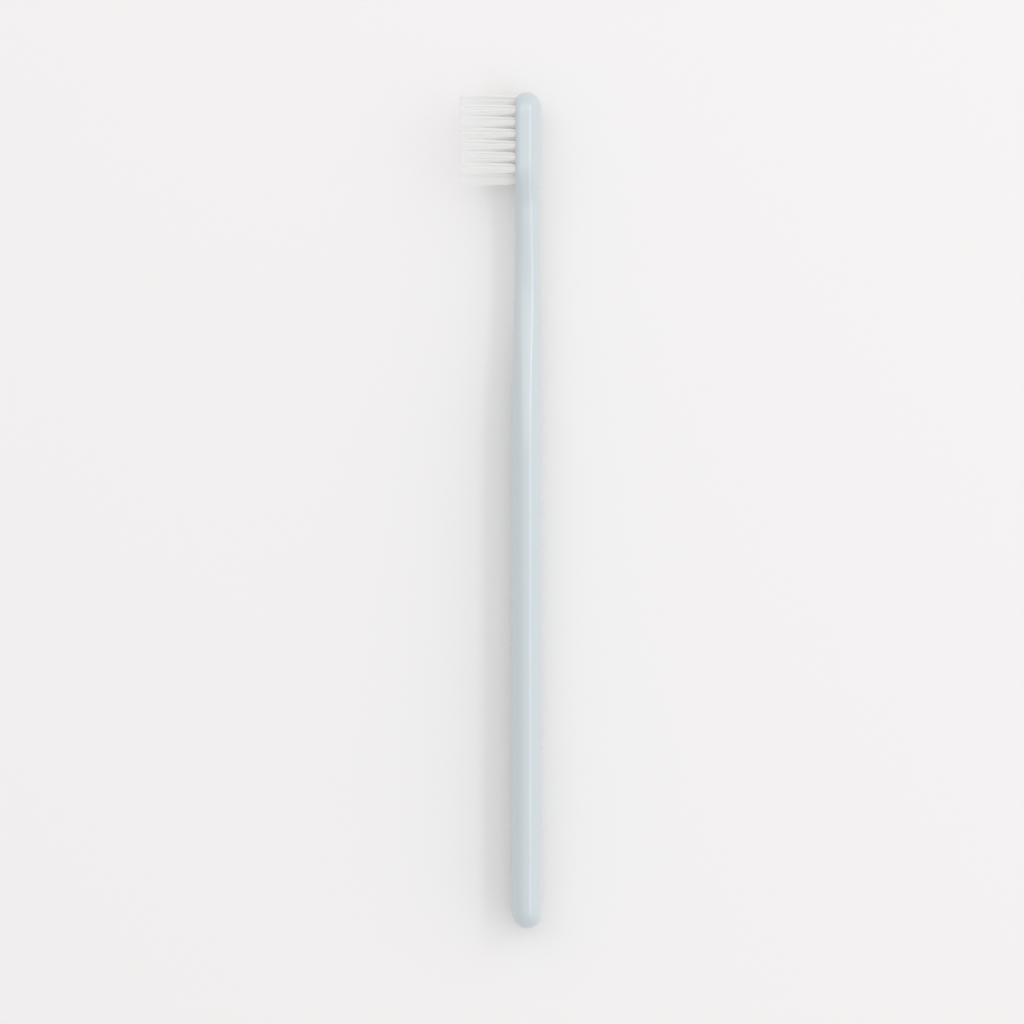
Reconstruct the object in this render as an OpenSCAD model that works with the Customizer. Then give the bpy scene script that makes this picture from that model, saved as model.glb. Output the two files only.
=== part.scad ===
// Toothbrush lying on its side: one moulded handle, bristle tufts folded over
// small metal anchors, and the anchors that hold them in the head.
// The brush lies along Y with its tip towards +Y, its bristles point to -X,
// and Z = 0 is the surface that it lies on.

/* [Grip] */
// Length of the whole brush, from the butt to the tip
brush_length = 178; // [165:1:200]
// Length of the grip, from the butt to where the neck starts
grip_length = 100; // [70:1:108]
// Thickness of the grip, front to back
grip_thick = 6.45; // [5.6:0.05:9]
// Width of the grip
grip_width = 10.6; // [6.4:0.1:12]
// Length over which the sides of the butt are rounded
butt_length = 4.5; // [2:0.1:8]
// Length over which the front of the butt is rounded
butt_front = 3.9; // [2:0.1:8]
// Length over which the back of the butt is rounded
butt_back = 3; // [2:0.1:8]

/* [Neck] */
// Length over which the grip narrows to the waist
taper_length = 37; // [20:1:45]
// Width of the waist, where the neck is narrowest
waist_width = 4.7; // [3.6:0.1:6]
// Width of the neck where it meets the head
neck_width = 5.8; // [4:0.1:7]
// Distance from the middle plane to the back of the neck
neck_back = 2.85; // [2.5:0.05:3.6]
// Length over which the neck widens into the head
flare_length = 8.5; // [6:0.5:10]

/* [Head] */
// Width of the head
head_width = 10.6; // [9.2:0.1:13]
// Distance from the middle plane to the flat face that holds the bristles
face_depth = 2.4; // [2:0.05:3]
// Distance from the middle plane to the back of the head
head_back = 3.15; // [2.8:0.05:4]
// Rounding from the face to the side: how deep it is, and how wide
face_edge_depth = 1.65; // [0.4:0.05:1.9]
face_edge_width = 1.2; // [0.3:0.05:1.3]
// Rounding from the side to the back: how deep it is, and how wide
back_edge_depth = 3; // [1:0.05:3]
back_edge_width = 5; // [1:0.1:5]
// Length over which the sides of the tip are rounded
tip_length = 5; // [3.5:0.1:6]
// Length over which the face is rounded at the tip
tip_front = 2.3; // [1:0.1:3]
// Length over which the back is rounded at the tip
tip_back = 3.5; // [1:0.1:5]

/* [Tufts] */
// Rows of tufts from tip to neck, the first and last without corner tufts
rows = 8; // [5:1:10]
// Columns of tufts across the head
columns = 4; // [3:1:4]
// Diameter of a tuft hole
hole_d = 1.75; // [1.5:0.05:1.85]
// Depth of a tuft hole below the face
hole_depth = 3.4; // [3:0.1:3.8]
// Distance between full rows
row_pitch = 2.48; // [2.2:0.02:3]
// Distance from each end row to the row beside it
end_pitch = 2.15; // [2:0.05:2.6]
// Wall between the outer holes and the side of the head
side_wall = 0.9; // [0.8:0.05:1.1]
// Wall between the first holes and the tip
tip_wall = 1.05; // [0.9:0.05:2]
// Free length of the bristles above the face
bristle_length = 12; // [8:0.5:13]
// Height over which the trimmed end of a tuft is rounded
trim_round = 0.3; // [0.1:0.05:0.6]

/* [Anchors] */
// Thickness of an anchor plate
anchor_thick = 0.28; // [0.2:0.02:0.36]
// Height of an anchor plate
anchor_height = 1.4; // [1:0.1:1.6]
// Distance that an anchor bites into the wall on each side of its hole
anchor_bite = 0.14; // [0.05:0.01:0.18]
// Angle of the anchors to the rows
anchor_turn = 30; // [0:5:90]
// Height of the folded bristles under an anchor
fold_height = 0.85; // [0.6:0.05:1]

/* [Fits] */
// Gap between a tuft and the wall and floor of its hole
tuft_fit = 0.02; // [0.01:0.01:0.05]
// Gap around an anchor in its grooves and in its tuft
anchor_fit = 0.01; // [0.01:0.01:0.03]
// Least gap between the spread ends of neighbouring tufts
tip_gap = 0.05; // [0.02:0.01:0.2]

/* [Hidden] */
// Largest share of a half width or depth that an edge rounding takes
round_share = 0.96;
// Largest share of the way from the grip to the flare that the taper takes
taper_share = 0.9;
// Straight steps that make one rounded corner of a section
corner_steps = 9;
// Sections along the butt, the taper, the neck, the flare, the head and the tip
butt_steps = 8;
taper_steps = 12;
neck_steps = 4;
flare_steps = 10;
head_steps = 4;
tip_steps = 10;
// Angle from the pole of an end to its first section
pole_angle = 8;
// Rounding at the foot of a folded tuft
fold_round = 0.35;
// Extra length of a cut beyond the surface it opens
cut_over = 1;
// Segments of a circle
$fn = 48;

anchor_width = hole_d + 2 * anchor_bite;
anchor_floor = fold_height + tuft_fit - hole_depth;
anchor_top = anchor_floor + anchor_height;

column_pitch = (head_width - 2 * side_wall - hole_d) / (columns - 1);
tuft_foot_d = hole_d - 2 * tuft_fit;
tuft_tip_d = max(tuft_foot_d, min(row_pitch, end_pitch, column_pitch) - tip_gap);

field_half = (rows - 3) / 2 * row_pitch + end_pitch;
field_middle = brush_length - tip_wall - hole_d / 2 - field_half;

// The head has its full width from the last full row of holes to the tip
butt_end = max(butt_length, butt_front, butt_back);
flare_end = row_y(rows - 1);
flare_start = flare_end - flare_length;
taper_end = min(grip_length + taper_length, mix(grip_length, flare_start, taper_share));
tip_start = brush_length - max(tip_length, tip_front, tip_back);

// A head wider than the grip leans the brush on the sides of its head and butt
lean = max(0, atan((head_width - grip_width) / 2 / (flare_end - butt_length)));
lift = max(
    head_width / 2 * cos(lean) - flare_end * sin(lean),
    grip_width / 2 * cos(lean) - butt_length * sin(lean)
);
axis_x = (face_depth + bristle_length - max(grip_thick / 2, head_back)) / 2;
axis_y = -brush_length * cos(lean) / 2;

cells = [
    for (row = [1 : rows])
        for (column = [1 : columns])
            if ((row > 1 && row < rows) || (column > 1 && column < columns))
                [row, column]
];

function tuft_name(cell) = str("tuft_row", cell[0], "_col", cell[1]);

// Row 1 is at the tip. Column 1 is on the side that the brush lies on.
function row_y(row) =
    row == 1 ? field_middle + field_half
    : row == rows ? field_middle - field_half
    : field_middle + ((rows + 1) / 2 - row) * row_pitch;
function column_z(column) = (column - (columns + 1) / 2) * column_pitch;

function clamp(t) = max(0, min(1, t));
function mix(a, b, t) = a + (b - a) * t;
// A smooth change from a to b while y goes from start to end
function blend(a, b, start, end, y) =
    let (t = clamp((y - start) / (end - start))) mix(a, b, t * t * (3 - 2 * t));
// An elliptical end of the given length: 1 where it starts, 0 at the pole
function dome(past, length) = sqrt(1 - pow(clamp(past / length), 2));
function ends(y, butt, tip) = dome(butt - y, butt) * dome(y - brush_length + tip, tip);

function half_width(y) = ends(y, butt_length, tip_length) * (
    y < taper_end ? blend(grip_width / 2, waist_width / 2, grip_length, taper_end, y)
    : y < flare_start ? blend(waist_width / 2, neck_width / 2, taper_end, flare_start, y)
    : blend(neck_width / 2, head_width / 2, flare_start, flare_end, y));
function front(y) = ends(y, butt_front, tip_front)
    * blend(grip_thick / 2, face_depth, grip_length, flare_start, y);
function back(y) = ends(y, butt_back, tip_back) * (
    y < flare_start
        ? blend(grip_thick / 2, neck_back, grip_length, flare_start, y)
        : blend(neck_back, head_back, flare_start, tip_start, y));

// The share of a half width or depth that an edge takes at y, given its size on
// the head and the half width or depth there: all round outside the head
function edge_share(edge, half, y) =
    let (head = min(round_share, edge / half))
    y < tip_start ? blend(round_share, head, flare_start, flare_end, y)
    : mix(head, round_share, pow((y - tip_start) / (brush_length - tip_start), 2));

// The closed outline of the moulding at y, as four rounded corners
function section(y) =
    let (
        w = half_width(y),
        depths = [front(y), back(y)],
        edge_z = [
            w * edge_share(face_edge_width, head_width / 2, y),
            w * edge_share(back_edge_width, head_width / 2, y)
        ],
        edge_x = [
            depths[0] * edge_share(face_edge_depth, face_depth, y),
            depths[1] * edge_share(back_edge_depth, head_back, y)
        ]
    )
    [
        for (corner = [0 : 3])
            let (
                side = corner == 1 || corner == 2 ? 1 : 0,
                out = side == 1 ? 1 : -1,
                up = corner < 2 ? 1 : -1
            )
            for (step = [0 : corner_steps])
                let (angle = 180 - 90 * (corner + step / corner_steps))
                [
                    out * (depths[side] - edge_x[side]) + edge_x[side] * cos(angle),
                    y,
                    up * (w - edge_z[side]) + edge_z[side] * sin(angle)
                ]
    ];

// Distances from the butt at which the moulding's outline is drawn
section_places = concat(
    [for (i = [0 : butt_steps]) butt_end * (1 - cos(mix(pole_angle, 90, i / butt_steps)))],
    [for (i = [0 : taper_steps]) mix(grip_length, taper_end, i / taper_steps)],
    [for (i = [1 : neck_steps]) mix(taper_end, flare_start, i / neck_steps)],
    [for (i = [1 : flare_steps]) mix(flare_start, flare_end, i / flare_steps)],
    [for (i = [1 : head_steps]) mix(flare_end, tip_start, i / head_steps)],
    [for (i = [1 : tip_steps])
        mix(tip_start, brush_length, sin(mix(0, 90 - pole_angle, i / tip_steps)))]
);

// The moulding as one skin of triangles between its sections and its two poles
module moulding() {
    sections = [for (y = section_places) section(y)];
    rings = len(sections);
    around = len(sections[0]);
    points = concat(
        [for (ring = sections) each ring],
        [[0, 0, 0], [0, brush_length, 0]]
    );
    butt_pole = rings * around;
    tip_pole = butt_pole + 1;
    last = (rings - 1) * around;
    faces = concat(
        [for (p = [0 : around - 1]) [butt_pole, p, (p + 1) % around]],
        [for (r = [0 : rings - 2], p = [0 : around - 1])
            let (q = (p + 1) % around, here = r * around, there = here + around)
            each [
                [here + p, there + p, here + q],
                [here + q, there + p, there + q]
            ]],
        [for (p = [0 : around - 1]) [tip_pole, last + (p + 1) % around, last + p]]
    );
    polyhedron(points = points, faces = faces);
}

// Moves a child from the tuft's own axes, +Z out of the face, to its hole
module at_hole(cell) {
    translate([-face_depth, row_y(cell[0]), column_z(cell[1])])
        rotate([0, -90, 0])
            children();
}

// An anchor-shaped block from the anchor's foot up to the given height
module anchor_block(top, gap) {
    size = [anchor_width + 2 * gap, anchor_thick + 2 * gap, top - anchor_floor + 2 * gap];
    rotate([0, 0, anchor_turn])
        translate([-size[0] / 2, -size[1] / 2, anchor_floor - gap])
            cube(size);
}

// Lays a piece down as the brush rests, centred over the origin
module lying() {
    translate([axis_x, axis_y, lift])
        rotate([lean, 0, 0])
            children();
}

module handle() {
    color([0.74, 0.83, 0.87])
        lying()
            difference() {
                moulding();
                for (cell = cells)
                    at_hole(cell) {
                        translate([0, 0, -hole_depth])
                            cylinder(d = hole_d, h = hole_depth + cut_over);
                        anchor_block(cut_over, anchor_fit);
                    }
            }
}

// A bundle of bristles folded in half: both legs stand in the hole, pass the
// anchor on either side, and spread towards the trimmed ends
module tuft(cell) {
    foot = tuft_fit - hole_depth;
    foot_r = tuft_foot_d / 2;
    tip_r = tuft_tip_d / 2;
    color([0.95, 0.96, 0.96])
        lying()
            at_hole(cell)
                difference() {
                    rotate_extrude()
                        polygon([
                            [0, foot],
                            [foot_r - fold_round, foot],
                            [foot_r, foot + fold_round],
                            [foot_r, 0],
                            [tip_r, bristle_length - trim_round],
                            [tip_r - trim_round, bristle_length],
                            [0, bristle_length]
                        ]);
                    anchor_block(anchor_top, anchor_fit);
                }
}

module anchors() {
    color([0.80, 0.68, 0.42])
        lying()
            for (cell = cells)
                at_hole(cell)
                    anchor_block(anchor_top, 0);
}

handle();
anchors();
for (cell = cells)
    tuft(cell);
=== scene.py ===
import math

import bpy
import numpy as np
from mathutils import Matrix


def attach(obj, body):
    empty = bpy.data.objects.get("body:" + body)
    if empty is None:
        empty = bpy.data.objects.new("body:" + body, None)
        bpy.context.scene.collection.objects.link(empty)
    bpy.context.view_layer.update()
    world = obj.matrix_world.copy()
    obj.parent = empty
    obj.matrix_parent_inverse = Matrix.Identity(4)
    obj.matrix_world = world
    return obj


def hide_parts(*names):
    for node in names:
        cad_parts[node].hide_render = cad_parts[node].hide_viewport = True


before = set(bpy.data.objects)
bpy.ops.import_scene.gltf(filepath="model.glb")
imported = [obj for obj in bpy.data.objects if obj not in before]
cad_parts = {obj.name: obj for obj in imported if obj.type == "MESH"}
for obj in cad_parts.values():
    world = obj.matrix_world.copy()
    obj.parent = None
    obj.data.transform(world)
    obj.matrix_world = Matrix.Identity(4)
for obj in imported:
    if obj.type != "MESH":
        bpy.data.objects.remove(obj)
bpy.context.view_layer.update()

# sizes are in millimetres, and the meshes get them in metres
millimetre = 0.001


def clamp(t):
    return np.clip(t, 0, 1)


# from a to b as t, a number, an array or a signal, goes from 0 to 1
def mix(a, b, t):
    return a + (b - a) * t


# smooth change from a to b while y goes from start to end
def blend(a, b, start, end, y):
    t = clamp((y - start) / (end - start))
    return mix(a, b, t * t * (3 - 2 * t))


# elliptical end of a given length: 1 where it starts, 0 at the pole
def dome(past, length):
    return np.sqrt(1 - clamp(past / length) ** 2)


# writes numpy points in millimetres and lists of faces into a new object at the origin
def newPiece(name, points, faces, smooth=True):
    mesh = bpy.data.meshes.new(name)
    mesh.from_pydata((points * millimetre).tolist(), [], faces)
    mesh.polygons.foreach_set("use_smooth", np.full(len(mesh.polygons), smooth))
    mesh.update()
    piece = bpy.data.objects.new(name, mesh)
    bpy.context.scene.collection.objects.link(piece)
    return piece


# Closed tubes, all alike. Each is a row of rings joined by quads, and a fan of triangles
# closes it at a pole on either end. rings: tube, ring, point around, xyz. poles: tube, end, xyz.
def tubes(rings, poles):
    count, along, around = rings.shape[:3]
    points = np.concatenate([rings.reshape(count, -1, 3), poles], axis=1)
    here = np.arange(along * around).reshape(along, around)
    beside = np.roll(here, -1, axis=1)
    quads = np.stack([here[:-1], beside[:-1], beside[1:], here[1:]], axis=-1).reshape(-1, 4)
    pole = np.full(around, along * around)
    fans = np.concatenate([
        np.stack([pole, beside[0], here[0]], axis=-1),
        np.stack([pole + 1, here[-1], beside[-1]], axis=-1)
    ])
    starts = np.arange(count)[:, None, None] * points.shape[1]
    faces = (quads + starts).reshape(-1, 4).tolist() + (fans + starts).reshape(-1, 3).tolist()
    return points.reshape(-1, 3), faces


# Wraps one output socket, so that an expression on it adds its Math nodes
class Signal:
    def __init__(self, nodes, socket):
        self.nodes = nodes
        self.socket = socket

    def maths(self, operation, a, b):
        return self.nodes.add("ShaderNodeMath", {"operation": operation}, {0: a, 1: b})

    def __add__(self, other):
        return self.maths("ADD", self, other)

    def __radd__(self, other):
        return self.maths("ADD", other, self)

    def __mul__(self, other):
        return self.maths("MULTIPLY", self, other)

    def __rmul__(self, other):
        return self.maths("MULTIPLY", other, self)


# The nodes of a material or the world. add() makes any node from its type, its settings,
# which are set first, and the values or links of its sockets, and gives one of its outputs.
class Nodes:
    def __init__(self, owner):
        owner.use_nodes = True
        self.owner = owner
        self.tree = owner.node_tree
        self.tree.nodes.clear()

    def add(self, kind, settings=None, sockets=None, output=0):
        node = self.tree.nodes.new(kind)
        for key, value in (settings or {}).items():
            setattr(node, key, value)
        for key, value in (sockets or {}).items():
            if isinstance(value, Signal):
                self.tree.links.new(value.socket, node.inputs[key])
            else:
                node.inputs[key].default_value = value
        return Signal(self, node.outputs[output]) if node.outputs else None

    # from the first colour to the second: a Mix node has those in sockets 6 and 7
    def colours(self, share, first, second):
        sockets = {"Factor": share, 6: (*first, 1), 7: (*second, 1)}
        return self.add("ShaderNodeMix", {"data_type": "RGBA"}, sockets, output=2)

    # soft blotches of about the given size, around a half
    def noise(self, place, size, detail=2):
        sockets = {"Vector": place, "Scale": 1 / (size * millimetre), "Detail": detail}
        return self.add("ShaderNodeTexNoise", sockets=sockets)

    def objectPlace(self):
        return self.add("ShaderNodeTexCoord", output="Object")

    def surface(self, sockets):
        shader = self.add("ShaderNodeBsdfPrincipled", sockets=sockets)
        self.add("ShaderNodeOutputMaterial", sockets={"Surface": shader})
        return self.owner


def newFinish(name):
    return Nodes(bpy.data.materials.new(name))


def putOn(piece, material):
    piece.data.materials.clear()
    piece.data.materials.append(material)


# The moulding. buttSides, buttFront and buttBack are how far the butt's rounding reaches on
# those sides, and so for the tip. The front is the face with the bristles. faceEdge and
# backEdge are how wide the head's edges are rounded, in its depth and in its width.
brush = {
    "length": 178,
    "gripLength": 100,
    "gripThick": 6.45,
    "gripWidth": 10.6,
    "buttSides": 4.5,
    "buttFront": 3.9,
    "buttBack": 3,
    "taperLength": 37,
    "waistWidth": 4.7,
    "neckWidth": 5.8,
    "neckBack": 2.85,
    "flareLength": 8.5,
    "headWidth": 10.6,
    "faceDepth": 2.4,
    "headBack": 3.15,
    "faceEdge": (1.65, 1.2),
    "backEdge": (3, 5),
    "tipSides": 5,
    "tipFront": 2.3,
    "tipBack": 3.5,
    "roundShare": 0.96,  # of a half width or depth, outside the head
    "cornerSteps": 30,
    "buttRings": 28,
    "stretchRings": (40, 40, 16, 30, 20),  # grip, taper, neck, flare and head
    "tipRings": 30,
    "poleAngle": 2,
    "sharpAngle": 35,
}

# The tufts' holes in the head and the anchors in them
field = {
    "rows": 8,
    "columns": 4,
    "holeD": 1.75,
    "holeDepth": 3.4,
    "rowPitch": 2.48,
    "endPitch": 2.15,
    "sideWall": 0.9,
    "tipWall": 1.05,
    "anchorThick": 0.28,
    "anchorHeight": 1.4,
    "anchorBite": 0.14,
    "anchorTurn": 30,
    "anchorFit": 0.01,
    "tuftFit": 0.02,
    "foldHeight": 0.85,
    "bristleLength": 12,
    "arcPoints": 21,
    "cutOver": 1,
}

columnPitch = (brush["headWidth"] - 2 * field["sideWall"] - field["holeD"]) / (field["columns"] - 1)
# from the middle of the field to its end rows, which stand a little nearer to the others
fieldHalf = (field["rows"] - 3) / 2 * field["rowPitch"] + field["endPitch"]
fieldMiddle = brush["length"] - field["tipWall"] - field["holeD"] / 2 - fieldHalf
anchorFloor = field["foldHeight"] + field["tuftFit"] - field["holeDepth"]
anchorTop = anchorFloor + field["anchorHeight"]


def rowPlace(row):
    if row == 1:
        return fieldMiddle + fieldHalf
    if row == field["rows"]:
        return fieldMiddle - fieldHalf
    return fieldMiddle + ((field["rows"] + 1) / 2 - row) * field["rowPitch"]


def columnPlace(column):
    return (column - (field["columns"] + 1) / 2) * columnPitch


# every tuft's row and column: the first and last rows have no corner tufts
cells = [
    (row, column)
    for row in range(1, field["rows"] + 1)
    for column in range(1, field["columns"] + 1)
    if 1 < row < field["rows"] or 1 < column < field["columns"]
]

buttEnd = max(brush["buttSides"], brush["buttFront"], brush["buttBack"])
taperEnd = brush["gripLength"] + brush["taperLength"]
flareEnd = rowPlace(field["rows"] - 1)
flareStart = flareEnd - brush["flareLength"]
tipStart = brush["length"] - max(brush["tipSides"], brush["tipFront"], brush["tipBack"])

# the brush lies on the sides of its grip and its head, centred over the origin
restingPlace = np.array([
    (brush["faceDepth"] + field["bristleLength"] - max(brush["gripThick"] / 2, brush["headBack"])) / 2,
    -brush["length"] / 2,
    max(brush["gripWidth"], brush["headWidth"]) / 2
])


# from the brush's own axes (x to its back, y to its tip, z across) to where it lies
def lying(points):
    return points + restingPlace


# from a tuft's own axes (z out of the face, x across the head, y to the tip) to the brush's
def atHole(points, cell):
    x, y, z = np.moveaxis(points, -1, 0)
    return np.stack([-brush["faceDepth"] - z, y + rowPlace(cell[0]), x + columnPlace(cell[1])], axis=-1)


# from the axes of an anchor (u through its plate, v along it, h out of the face) to its tuft's
def turned(u, v, h):
    turn = math.radians(field["anchorTurn"])
    return np.stack([
        v * math.cos(turn) - u * math.sin(turn),
        v * math.sin(turn) + u * math.cos(turn),
        h
    ], axis=-1)


def endRounding(y, butt, tip):
    return dome(butt - y, butt) * dome(y - brush["length"] + tip, tip)


def halfWidth(y):
    grip, waist = brush["gripWidth"] / 2, brush["waistWidth"] / 2
    neck, head = brush["neckWidth"] / 2, brush["headWidth"] / 2
    width = np.where(y < taperEnd, blend(grip, waist, brush["gripLength"], taperEnd, y), np.where(
        y < flareStart,
        blend(waist, neck, taperEnd, flareStart, y),
        blend(neck, head, flareStart, flareEnd, y)
    ))
    return width * endRounding(y, brush["buttSides"], brush["tipSides"])


def frontDepth(y):
    depth = blend(brush["gripThick"] / 2, brush["faceDepth"], brush["gripLength"], flareStart, y)
    return depth * endRounding(y, brush["buttFront"], brush["tipFront"])


def backDepth(y):
    depth = np.where(
        y < flareStart,
        blend(brush["gripThick"] / 2, brush["neckBack"], brush["gripLength"], flareStart, y),
        blend(brush["neckBack"], brush["headBack"], flareStart, tipStart, y)
    )
    return depth * endRounding(y, brush["buttBack"], brush["tipBack"])


# share of a half width or depth that an edge takes at y: all round outside the head
def edgeShare(edge, half, y):
    head = min(brush["roundShare"], edge / half)
    past = clamp((y - tipStart) / (brush["length"] - tipStart))
    return np.where(
        y < tipStart,
        blend(brush["roundShare"], head, flareStart, flareEnd, y),
        mix(head, brush["roundShare"], past ** 2)
    )


# The moulding's skin. At each distance y from the butt its section is four quarter ellipses
# joined by straight sides: x = out * (depth - edge) + edge * cos(a), and z alike from the
# half width, where a runs down from 180 degrees and each quarter belongs to one corner.
def mouldingRings(places):
    y = places[:, None]
    steps = brush["cornerSteps"]
    corner = np.repeat(np.arange(4), steps + 1)[None]
    angle = np.radians(180 - 90 * (corner + np.tile(np.linspace(0, 1, steps + 1), 4)[None]))
    atBack = (corner == 1) | (corner == 2)
    out = np.where(atBack, 1, -1)
    up = np.where(corner < 2, 1, -1)
    width = halfWidth(y)
    depth = np.where(atBack, backDepth(y), frontDepth(y))
    edgeX = depth * np.where(
        atBack,
        edgeShare(brush["backEdge"][0], brush["headBack"], y),
        edgeShare(brush["faceEdge"][0], brush["faceDepth"], y)
    )
    edgeZ = width * np.where(
        atBack,
        edgeShare(brush["backEdge"][1], brush["headWidth"] / 2, y),
        edgeShare(brush["faceEdge"][1], brush["headWidth"] / 2, y)
    )
    x = out * (depth - edgeX) + edgeX * np.cos(angle)
    z = up * (width - edgeZ) + edgeZ * np.sin(angle)
    return np.stack([x, np.broadcast_to(y, x.shape), z], axis=-1)


# The cutter of all the holes. Each is a circle that widens, above the foot of its anchor,
# into a keyhole with a groove on either side. Its walls stand on a circle at the floor of
# the hole, on both outlines at the anchor's foot, and end in a keyhole above the face. The
# circle has two points in the mouth of each groove, and the keyhole has them at its far end.
def holeCutters():
    radius = field["holeD"] / 2
    grooveHalf = field["anchorThick"] / 2 + field["anchorFit"]
    grooveEnd = radius + field["anchorBite"] + field["anchorFit"]
    grooveFloor = anchorFloor - field["anchorFit"]
    mouth = math.asin(grooveHalf / radius)
    arc = np.linspace(mouth, math.pi - mouth, field["arcPoints"])
    inMouth = np.array([-mouth / 3, mouth / 3])
    angles = np.concatenate([arc, math.pi + inMouth, math.pi + arc, inMouth])
    circle = radius * np.stack([np.sin(angles), np.cos(angles)], axis=-1)
    count = len(angles)
    corners = np.array([len(arc), len(arc) + 1, count - 2, count - 1])
    keyhole = circle.copy()
    keyhole[corners] = [
        [grooveHalf, -grooveEnd],
        [-grooveHalf, -grooveEnd],
        [-grooveHalf, grooveEnd],
        [grooveHalf, grooveEnd]
    ]
    levels = (
        (circle, -field["holeDepth"]),
        (circle, grooveFloor),
        (keyhole[corners], grooveFloor),
        (keyhole, field["cutOver"])
    )
    shape = np.concatenate([
        turned(outline[:, 0], outline[:, 1], np.full(len(outline), height))
        for outline, height in levels
    ])
    floor = np.arange(count)
    step = floor + count
    wide = step.copy()
    wide[corners] = np.arange(len(corners)) + 2 * count
    top = step + count + len(corners)
    walls = np.concatenate([
        np.stack([low, np.roll(low, -1), np.roll(high, -1), high], axis=-1)
        for low, high in ((floor, step), (wide, top))
    ])
    # the floor of each groove has four corners on the circle and two at its far end
    ledges = [
        [*step[first - 1:first + 2], step[(first + 2) % count], wide[first + 1], wide[first]]
        for first in corners[::2]
    ]
    oneHole = walls.tolist() + ledges + [floor[::-1].tolist(), top.tolist()]
    points = np.concatenate([atHole(shape, cell) for cell in cells])
    faces = [
        [int(point) + hole * len(shape) for point in face]
        for hole in range(len(cells))
        for face in oneHole
    ]
    return newPiece("holeCutters", lying(points), faces)


# cuts one mesh out of another and keeps only the result
def cutOut(piece, cutter):
    modifier = piece.modifiers.new("holes", "BOOLEAN")
    modifier.operation = "DIFFERENCE"
    modifier.solver = "EXACT"
    modifier.object = cutter
    evaluated = piece.evaluated_get(bpy.context.evaluated_depsgraph_get())
    mesh = bpy.data.meshes.new_from_object(evaluated)
    piece.modifiers.clear()
    piece.data = mesh
    bpy.data.objects.remove(cutter)


def makeHandle():
    buttAngles = np.radians(np.linspace(brush["poleAngle"], 90, brush["buttRings"]))
    tipAngles = np.radians(np.linspace(0, 90 - brush["poleAngle"], brush["tipRings"]))
    marks = (buttEnd, brush["gripLength"], taperEnd, flareStart, flareEnd, tipStart)
    stretches = [
        np.linspace(start, end, count)[1:]
        for start, end, count in zip(marks, marks[1:], brush["stretchRings"])
    ]
    places = np.concatenate([
        buttEnd * (1 - np.cos(buttAngles)),
        *stretches,
        mix(tipStart, brush["length"], np.sin(tipAngles))[1:]
    ])
    poles = np.array([[[0, 0, 0], [0, brush["length"], 0]]])
    points, faces = tubes(mouldingRings(places)[None], poles)
    handle = newPiece("mouldedHandle", lying(points), faces)
    cutOut(handle, holeCutters())
    handle.data.set_sharp_from_angle(angle=math.radians(brush["sharpAngle"]))
    return handle


bristle = {
    "thick": 0.17,
    "pitch": 0.176,
    "sides": 5,
    "heights": (1, 0.96, 0.86, 0.66, 0.4, 0.12, 0),  # shares of the free length
    "endShare": 0.3,  # of the thickness, at the tips
    "taperShare": 0.32,  # of the free length
    "tipRadius": 1.33,
    "spreadPower": (0.95, 0.22),  # in the middle rows and in the end ones
    "scatter": 0.09,
    "bend": 0.16,
    "uneven": 0.02,
    "tuftLean": 0.06,
    "foldAngles": (60, 120),
    "seed": 11,
}


# Where the filaments stand in one half of the hole: u from the middle of the anchor's plate
# and v along it, in a honeycomb from the plate out to the wall.
def honeycomb():
    room = field["holeD"] / 2 - field["tuftFit"] - bristle["thick"] / 2
    nearest = field["anchorThick"] / 2 + field["anchorFit"] + bristle["thick"] / 2
    rowGap = bristle["pitch"] * math.sin(math.radians(60))
    reach = math.ceil(room / rowGap)
    across, beside = np.meshgrid(np.arange(reach), np.arange(-reach, reach + 1), indexing="ij")
    u = (nearest + across * rowGap).ravel()
    v = ((beside + across % 2 / 2) * bristle["pitch"]).ravel()
    inside = np.hypot(u, v) <= room
    return u[inside, None], v[inside, None]


# The filaments' middle lines, and how far up its free leg each of their points is. A line
# runs down one leg, in a half circle round the anchor's foot, and up the other leg. The
# place in the honeycomb grows with a power of the height, so the legs spread, and they
# scatter, bend and lean a little. That power falls from the middle rows to the end ones.
def filamentLines(cell, random):
    u, v = honeycomb()
    count = len(u)
    share = np.array([*bristle["heights"], 0, 0])
    sunk = np.zeros(len(share))
    sunk[-2:] = anchorTop, anchorFloor
    spread = bristle["tipRadius"] / (field["holeD"] / 2 - field["tuftFit"])
    middleRow = (field["rows"] + 1) / 2
    power = mix(*bristle["spreadPower"], abs(cell[0] - middleRow) / (middleRow - 1))
    growth = 1 + (spread - 1) * share ** power
    legs = []
    for side in (1, -1):
        scatter = random.normal(0, bristle["scatter"], (2, count, 1)) * share
        bend = random.normal(0, bristle["bend"], (2, count, 1)) * share * (1 - share)
        short = bristle["uneven"] * np.abs(random.normal(0, 1, (count, 1)))
        legs.append(np.stack([
            side * u * growth + scatter[0] + bend[0],
            v * growth + scatter[1] + bend[1],
            share * field["bristleLength"] * (1 - short) + sunk
        ]))
    fold = np.radians(bristle["foldAngles"])
    bottom = np.stack([u * np.cos(fold), v + 0 * fold, anchorFloor - u * np.sin(fold)])
    u, v, h = np.concatenate([legs[0], bottom, legs[1][..., ::-1]], axis=-1)
    above = clamp(h / field["bristleLength"])
    lines = turned(u, v, h)
    lines[..., :2] += above[..., None] * random.normal(0, bristle["tuftLean"], 2)
    return lines, above


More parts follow.
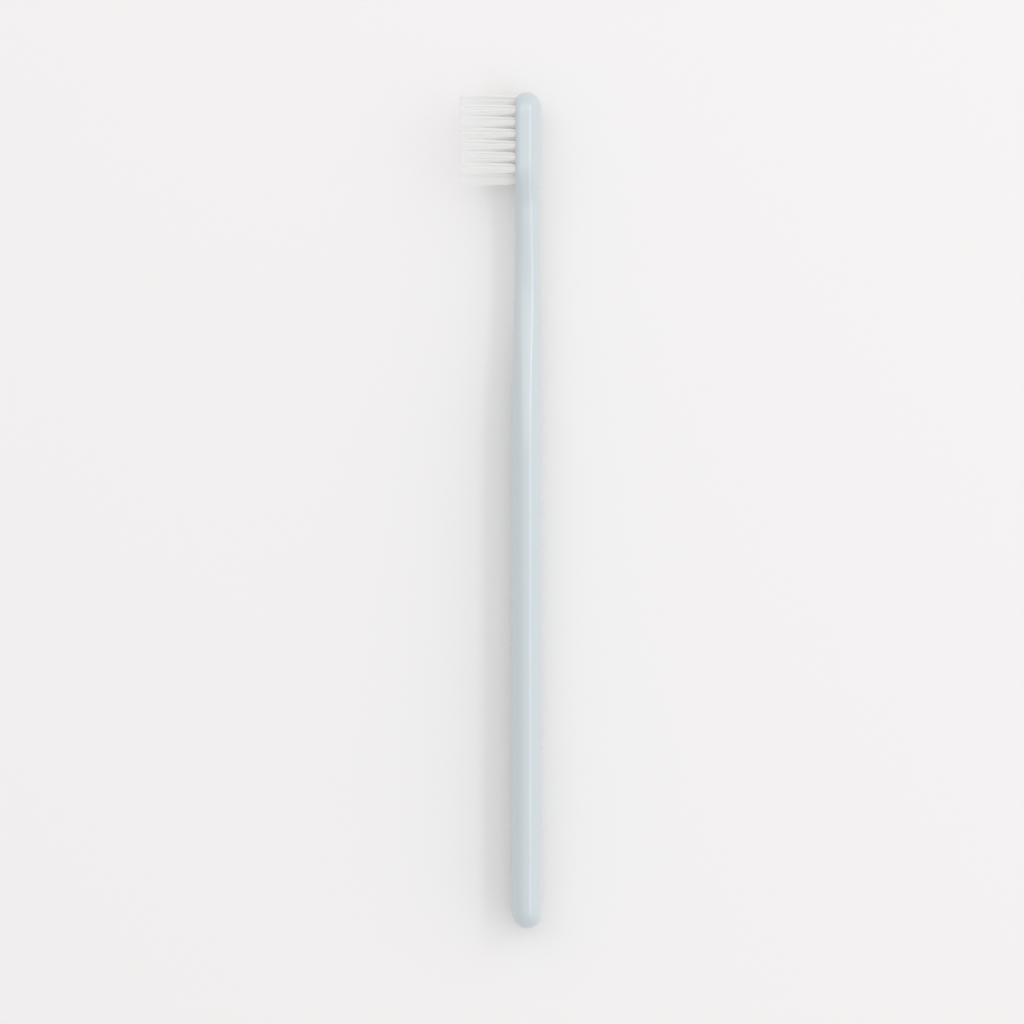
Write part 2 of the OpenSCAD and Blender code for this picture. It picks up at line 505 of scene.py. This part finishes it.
# Rings of the given radii round each line, and a pole just past either end of it. A ring is
# the line's point + radius * (cos(a) * first + sin(a) * second), where first and second are
# at right angles to the line, and first is as near to the plate's direction as that allows.
def ringsRound(lines, radius):
    along = np.gradient(lines, axis=1)
    along /= np.linalg.norm(along, axis=-1, keepdims=True)
    plate = turned(0.0, 1.0, 0.0)
    first = plate - along * (along @ plate)[..., None]
    first /= np.linalg.norm(first, axis=-1, keepdims=True)
    second = np.cross(along, first)
    turn = np.arange(bristle["sides"]) * 2 * math.pi / bristle["sides"]
    circle = np.cos(turn)[:, None] * first[:, :, None] + np.sin(turn)[:, None] * second[:, :, None]
    rings = lines[:, :, None] + radius[..., None, None] * circle
    past = bristle["thick"] / 2 * bristle["endShare"] * along
    poles = np.stack([lines[:, 0] - past[:, 0], lines[:, -1] + past[:, -1]], axis=1)
    return rings, poles


# a tuft of filaments folded over their anchor, each a tube that gets thinner to both its ends
def makeTuft(cell):
    random = np.random.default_rng(bristle["seed"] + 10 * cell[0] + cell[1])
    lines, above = filamentLines(cell, random)
    taper = clamp((above - 1 + bristle["taperShare"]) / bristle["taperShare"])
    radius = bristle["thick"] / 2 * mix(1, bristle["endShare"], taper)
    rings, poles = ringsRound(lines, radius)
    points, faces = tubes(rings, poles)
    name = f"bristles_row{cell[0]}_col{cell[1]}"
    piece = newPiece(name, lying(atHole(points, cell)), faces)
    # for the nylon: how far up its leg a point is, which darkens the roots as painted shade, and a
    # number of each filament's own
    alongRings = np.repeat(above, bristle["sides"], axis=1)
    height = np.concatenate([alongRings, np.ones(poles.shape[:2])], axis=1)
    own = np.broadcast_to(random.random((len(lines), 1)), height.shape)
    for label, values in (("height", height), ("own", own)):
        attribute = piece.data.attributes.new(label, "FLOAT", "POINT")
        attribute.data.foreach_set("value", values.ravel().astype(np.float32))
    return piece


plastic = {
    "colour": (0.578, 0.643, 0.672),
    "shade": (0.569, 0.635, 0.666),
    "blotch": 18,
    "roughness": (0.18, 0.22),
    "ripple": 7,
    "rippleDepth": 0.1,
    "rippleStrength": 0.05,
    "index": 1.57,
    "shine": 1,
}


def plasticFinish():
    nodes = newFinish("paleBluePlastic")
    place = nodes.objectPlace()
    blotches = nodes.noise(place, plastic["blotch"])
    bump = nodes.add("ShaderNodeBump", sockets={
        "Height": nodes.noise(place, plastic["ripple"]),
        "Strength": plastic["rippleStrength"],
        "Distance": plastic["rippleDepth"] * millimetre,
    })
    return nodes.surface({
        "Base Color": nodes.colours(blotches, plastic["colour"], plastic["shade"]),
        "Roughness": mix(*plastic["roughness"], blotches),
        "Normal": bump,
        "IOR": plastic["index"],
        "Specular IOR Level": plastic["shine"],
    })


# The filaments glow though they are no lamp: a painted glow that stands in for the light fine white
# filaments pass on among themselves
nylon = {
    # the roots are darker than the tips: painted shade where the tufts stand close together by the head
    "root": (0.59, 0.588, 0.588),
    "tip": (0.67, 0.673, 0.685),
    "paintedGlow": (0.213, 0.211, 0.203),
    "paintedGlowStrength": 1,
    "tipShare": (0.8, 1),  # how much of the tip's colour a filament reaches
    "roughness": (0.35, 0.45),
    "index": 1.53,
}


def nylonFinish():
    nodes = newFinish("whiteNylon")
    height = nodes.add("ShaderNodeAttribute", {"attribute_name": "height"}, output="Fac")
    own = nodes.add("ShaderNodeAttribute", {"attribute_name": "own"}, output="Fac")
    # darker towards the root as painted shade, and each filament reaches a share of the tip's colour of
    # its own
    share = height * mix(*nylon["tipShare"], own)
    return nodes.surface({
        "Base Color": nodes.colours(share, nylon["root"], nylon["tip"]),
        "Roughness": mix(*nylon["roughness"], own),
        # painted glow: light given off by the nylon, which is no lamp
        "Emission Color": (*nylon["paintedGlow"], 1),
        "Emission Strength": nylon["paintedGlowStrength"],
        "IOR": nylon["index"],
    })


brass = {
    "bright": (0.78, 0.63, 0.34),
    "dull": (0.62, 0.48, 0.25),
    "grain": 0.25,
    "grainDetail": 4,
    "roughness": (0.25, 0.45),
}


def brassFinish():
    nodes = newFinish("stampedBrass")
    grain = nodes.noise(nodes.objectPlace(), brass["grain"], brass["grainDetail"])
    return nodes.surface({
        "Base Color": nodes.colours(grain, brass["bright"], brass["dull"]),
        "Metallic": 1,
        "Roughness": mix(*brass["roughness"], grain),
    })


handle = makeHandle()
putOn(handle, plasticFinish())
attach(handle, "root")
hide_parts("handle")
print("scene: handle ready,", len(handle.data.polygons), "faces")

nylonMaterial = nylonFinish()
for cell in cells:
    tuft = makeTuft(cell)
    putOn(tuft, nylonMaterial)
    # nylon this fine lets light through, so its direct shadow would be too dark
    tuft.visible_shadow = False
    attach(tuft, "root")
    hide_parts(f"tuft_row{cell[0]}_col{cell[1]}")
print("scene: tufts ready,", len(cells), "pieces of", len(tuft.data.polygons), "faces")

putOn(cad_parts["anchors"], brassFinish())
print("scene: anchors finished")

# A lamp's tilt is its angle from upright, its bearing is from the right of the picture, and
# ahead is how far it is moved towards the tip. The picture is frameWidth wide at frameLevel.
studio = {
    "floor": (0.877, 0.864, 0.862),
    "floorSize": 8000,
    "floorRoughness": 0.9,
    "floorShine": 0.1,
    "world": 0.73,
    "lampAway": 1500,
    "lampLength": 3300,
    "strip": {"tilt": 38.2, "bearing": 0, "ahead": 180, "width": 240, "level": 1.55},
    "skirt": {"tilt": 67, "bearing": 0, "ahead": 480, "width": 1090, "level": 0.48},
    "crown": {"tilt": 26.9, "bearing": 90, "ahead": 180, "width": 1585, "level": 0.505},
    "cameraHeight": 1000,
    "cameraPlace": (2.4685, -0.3726),
    "sensorWidth": 36,
    "frameWidth": 218,
    "frameLevel": 5,
    "nearClip": 10,
    "farClip": 100000,
}


def makeFloor():
    half = studio["floorSize"] / 2
    corners = np.array([[-half, -half, 0], [half, -half, 0], [half, half, 0], [-half, half, 0]])
    floor = newPiece("floor", corners, [[0, 1, 2, 3]], smooth=False)
    putOn(floor, newFinish("palePaper").surface({
        "Base Color": (*studio["floor"], 1),
        "Roughness": studio["floorRoughness"],
        "Specular IOR Level": studio["floorShine"],
    }))


# the world is plain light, and the camera and reflections see the floor's colour there
def makeWorld():
    world = bpy.data.worlds.new("studioWorld")
    bpy.context.scene.world = world
    nodes = Nodes(world)
    rays = [
        nodes.add("ShaderNodeLightPath", output=f"Is {kind} Ray")
        for kind in ("Camera", "Glossy", "Transmission")
    ]
    light = nodes.colours(rays[0] + rays[1] + rays[2], [studio["world"]] * 3, studio["floor"])
    background = nodes.add("ShaderNodeBackground", sockets={"Color": light})
    nodes.add("ShaderNodeOutputWorld", sockets={"Surface": background})


# a long lamp that looks at the brush and is as bright everywhere as its level says
def makeLamp(name, mirrored=True):
    place = studio[name]
    tilt = math.radians(place["tilt"])
    bearing = math.radians(place["bearing"])
    away = studio["lampAway"] * millimetre
    beside = away * math.sin(tilt)
    light = bpy.data.lights.new(name, "AREA")
    light.shape = "RECTANGLE"
    light.size = place["width"] * millimetre
    light.size_y = studio["lampLength"] * millimetre
    light.energy = place["level"] * math.pi * light.size * light.size_y
    lamp = bpy.data.objects.new(name, light)
    lamp.location = (
        beside * math.cos(bearing),
        beside * math.sin(bearing) + place["ahead"] * millimetre,
        away * math.cos(tilt)
    )
    lamp.rotation_euler = (0, tilt, bearing)
    lamp.visible_camera = False
    lamp.visible_glossy = mirrored
    bpy.context.scene.collection.objects.link(lamp)


def makeCamera():
    camera = bpy.data.objects.new("camera", bpy.data.cameras.new("camera"))
    x, y = studio["cameraPlace"]
    camera.location = (x * millimetre, y * millimetre, studio["cameraHeight"] * millimetre)
    camera.data.sensor_width = studio["sensorWidth"]
    distance = studio["cameraHeight"] - studio["frameLevel"]
    camera.data.lens = studio["sensorWidth"] * distance / studio["frameWidth"]
    camera.data.clip_start = studio["nearClip"] * millimetre
    camera.data.clip_end = studio["farClip"] * millimetre
    bpy.context.scene.collection.objects.link(camera)
    bpy.context.scene.camera = camera


makeFloor()
makeWorld()
# the strip shows in the plastic as a narrow line, and the wide skirt beside it doesn't
makeLamp("strip")
makeLamp("skirt", mirrored=False)
makeLamp("crown")
makeCamera()
bpy.context.scene.view_settings.view_transform = "Standard"
print("scene: studio ready")
